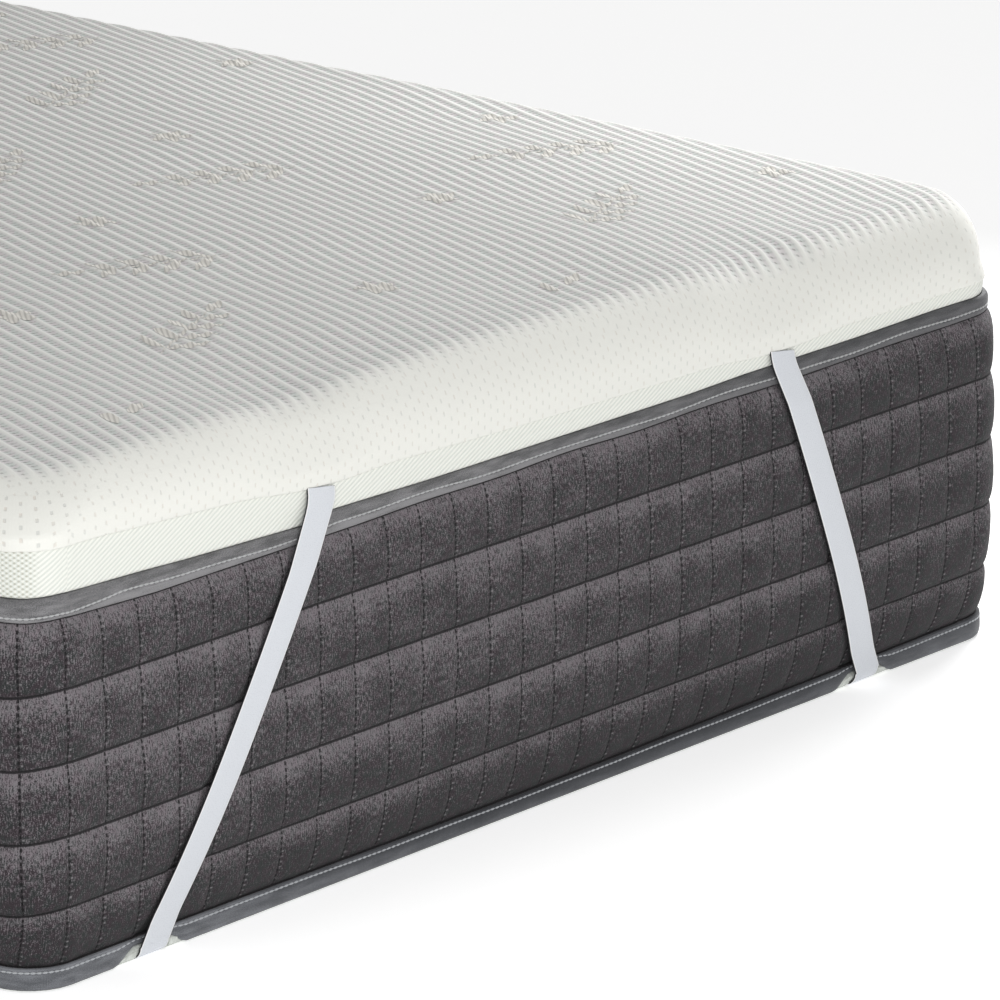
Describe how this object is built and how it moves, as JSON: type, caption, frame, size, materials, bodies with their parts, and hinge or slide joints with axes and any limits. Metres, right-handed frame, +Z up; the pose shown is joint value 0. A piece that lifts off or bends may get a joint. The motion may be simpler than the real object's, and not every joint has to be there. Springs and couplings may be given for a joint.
{
  "type": "mattress topper on a mattress",
  "caption": "Filled mattress topper with a ribbed knit cover and mesh foot band, held on a quilted single mattress by an elastic strap under each corner.",
  "frame": {"origin": "on the floor under the middle of the mattress", "axes": "+Z up; +Y along the long side, away from the short end that faces the viewer; +X to that viewer's right"},
  "size_m": [0.9042, 1.9042, 0.2965],
  "materials": {
    "ribbed_knit": "matte ribbed knit, off-white, with smooth dotted sides",
    "mesh_band": "matte fine mesh, off-white",
    "elastic": "matte woven elastic, cool white",
    "quilted_velour": "soft sheen quilted velour, charcoal",
    "edge_tape": "matte woven binding, grey, with a light stitch",
    "base_cloth": "matte plain cloth, pale grey"
  },
  "bodies": {
    "root": {"topper_cover": "ribbed_knit", "topper_band": "mesh_band", "strap_front_left": "elastic", "strap_front_right": "elastic", "strap_back_right": "elastic", "strap_back_left": "elastic", "mattress_side": "quilted_velour", "mattress_tape_top": "edge_tape", "mattress_tape_bottom": "edge_tape", "mattress_base": "base_cloth"}
  },
  "joints": []
}
